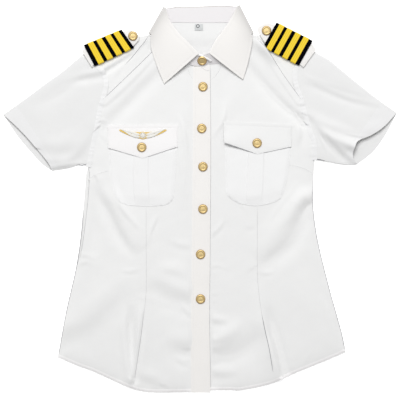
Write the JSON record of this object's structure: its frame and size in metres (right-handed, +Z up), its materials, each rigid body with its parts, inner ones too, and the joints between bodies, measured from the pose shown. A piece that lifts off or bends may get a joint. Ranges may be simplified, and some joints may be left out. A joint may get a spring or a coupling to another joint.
{
  "type": "short-sleeved pilot shirt, laid flat",
  "caption": "Short-sleeved white uniform shirt laid flat, with pointed collar, buttoned placket, pleated flap pockets and striped shoulder slides.",
  "frame": {"origin": "middle of the shirt's bounding box, on the surface that it lies on", "axes": "+Z up from the surface, +Y towards the collar, +X to the right as seen from above"},
  "size_m": [0.67, 0.6583, 0.0175],
  "materials": {
    "poplin": "plain weave, matt with a slight sheen",
    "poplin_double": "pressed double cloth, matt",
    "slide_black": "black felt with woven gold braid",
    "thread_gold": "embroidery thread",
    "brass": "polished, worn",
    "label_cloth": "woven tape"
  },
  "bodies": {
    "root": {"back": "poplin", "yoke": "poplin", "front_right": "poplin", "front_left": "poplin", "placket": "poplin_double", "sleeve_right": "poplin", "sleeve_left": "poplin", "collar_stand": "poplin_double", "collar": "poplin_double", "pocket_right": "poplin", "pocket_left": "poplin", "flap_right": "poplin_double", "flap_left": "poplin_double", "badge_wings": "thread_gold", "strap_right": "poplin_double", "strap_left": "poplin_double", "slide_right": "slide_black", "slide_left": "slide_black", "button_front_1": "brass", "button_front_2": "brass", "button_front_3": "brass", "button_front_4": "brass", "button_front_5": "brass", "button_front_6": "brass", "button_flap_right": "brass", "button_flap_left": "brass", "button_strap_right": "brass", "button_strap_left": "brass", "button_collar": "brass", "neck_label": "label_cloth"}
  },
  "joints": []
}
